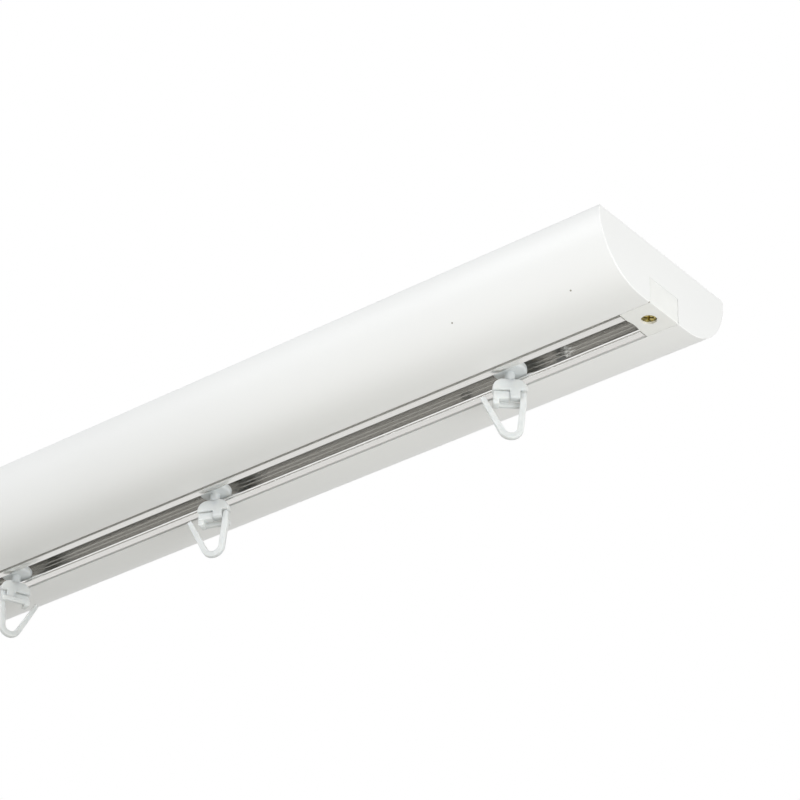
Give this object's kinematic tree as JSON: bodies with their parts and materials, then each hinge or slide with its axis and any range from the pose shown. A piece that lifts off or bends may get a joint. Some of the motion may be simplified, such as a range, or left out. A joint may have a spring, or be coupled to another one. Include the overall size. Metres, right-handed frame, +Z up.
{
  "type": "curtain track",
  "caption": "Ceiling curtain track: white D-section moulding with a slotted aluminium rail let into its underside, end stops and turning gliders with V curtain hooks.",
  "frame": {"origin": "middle of the flat top face, which lies against the ceiling", "axes": "+X along the track towards its right end, +Z up into the ceiling, Y across the track"},
  "size_m": [0.6, 0.06, 0.0406],
  "materials": {
    "white_lacquer": "white lacquer, semi-gloss",
    "rail_aluminium": "satin anodised, extruded",
    "white_plastic": "moulded, matt",
    "brass": "bright brass-plated",
    "steel": "zinc-plated",
    "runner_plastic": "moulded, milky",
    "hook_plastic": "moulded, milky translucent"
  },
  "bodies": {
    "track": {"cover_moulding": "white_lacquer", "slotted_rail": "rail_aluminium", "stop_block_right": "white_plastic", "stop_block_left": "white_plastic", "stop_screw_right": "brass", "stop_screw_left": "brass", "rail_screws": "steel"},
    "glider_01_runner": {"glider_01_runner": "runner_plastic"},
    "glider_01_block": {"glider_01_block": "hook_plastic"},
    "glider_01_hook": {"glider_01_hook": "hook_plastic"},
    "glider_02_runner": {"glider_02_runner": "runner_plastic"},
    "glider_02_block": {"glider_02_block": "hook_plastic"},
    "glider_02_hook": {"glider_02_hook": "hook_plastic"},
    "glider_03_runner": {"glider_03_runner": "runner_plastic"},
    "glider_03_block": {"glider_03_block": "hook_plastic"},
    "glider_03_hook": {"glider_03_hook": "hook_plastic"},
    "glider_04_runner": {"glider_04_runner": "runner_plastic"},
    "glider_04_block": {"glider_04_block": "hook_plastic"},
    "glider_04_hook": {"glider_04_hook": "hook_plastic"},
    "glider_05_runner": {"glider_05_runner": "runner_plastic"},
    "glider_05_block": {"glider_05_block": "hook_plastic"},
    "glider_05_hook": {"glider_05_hook": "hook_plastic"}
  },
  "joints": [
    {"name": "glider_01_slide", "type": "slide", "parent": "track", "child": "glider_01_runner", "axis": [1, 0, 0], "range_m": [-0.0488, 0.0374]},
    {"name": "glider_01_turn", "type": "hinge", "parent": "glider_01_runner", "child": "glider_01_block", "pos_m": [0.2469, 0, -0.0225], "axis": [0, 0, 1], "continuous": true},
    {"name": "glider_01_swing", "type": "hinge", "parent": "glider_01_block", "child": "glider_01_hook", "pos_m": [0.2469, 0, -0.0263], "axis": [0.7314, 0.682, 0], "range_deg": [-70, 70]},
    {"name": "glider_02_slide", "type": "slide", "parent": "track", "child": "glider_02_runner", "axis": [1, 0, 0], "range_m": [-0.0352, 0.0488]},
    {"name": "glider_02_turn", "type": "hinge", "parent": "glider_02_runner", "child": "glider_02_block", "pos_m": [0.1354, 0, -0.0225], "axis": [0, 0, 1], "continuous": true},
    {"name": "glider_02_swing", "type": "hinge", "parent": "glider_02_block", "child": "glider_02_hook", "pos_m": [0.1354, 0, -0.0263], "axis": [0.9336, 0.3584, 0], "range_deg": [-70, 70]},
    {"name": "glider_03_slide", "type": "slide", "parent": "track", "child": "glider_03_runner", "axis": [1, 0, 0], "range_m": [-0.0628, 0.0352]},
    {"name": "glider_03_turn", "type": "hinge", "parent": "glider_03_runner", "child": "glider_03_block", "pos_m": [0.0511, 0, -0.0225], "axis": [0, 0, 1], "continuous": true},
    {"name": "glider_03_swing", "type": "hinge", "parent": "glider_03_block", "child": "glider_03_hook", "pos_m": [0.0511, 0, -0.0263], "axis": [-0.3907, -0.9205, 0], "range_deg": [-70, 70]},
    {"name": "glider_04_slide", "type": "slide", "parent": "track", "child": "glider_04_runner", "axis": [1, 0, 0], "range_m": [-0.0628, 0.0628]},
    {"name": "glider_04_turn", "type": "hinge", "parent": "glider_04_runner", "child": "glider_04_block", "pos_m": [-0.08845, 0, -0.0225], "axis": [0, 0, 1], "continuous": true},
    {"name": "glider_04_swing", "type": "hinge", "parent": "glider_04_block", "child": "glider_04_hook", "pos_m": [-0.08845, 0, -0.0263], "axis": [0, -1, 0], "range_deg": [-70, 70]},
    {"name": "glider_05_slide", "type": "slide", "parent": "track", "child": "glider_05_runner", "axis": [1, 0, 0], "range_m": [-0.0563, 0.0628]},
    {"name": "glider_05_turn", "type": "hinge", "parent": "glider_05_runner", "child": "glider_05_block", "pos_m": [-0.228, 0, -0.0225], "axis": [0, 0, 1], "continuous": true},
    {"name": "glider_05_swing", "type": "hinge", "parent": "glider_05_block", "child": "glider_05_hook", "pos_m": [-0.228, 0, -0.0263], "axis": [0, -1, 0], "range_deg": [-70, 70]}
  ]
}
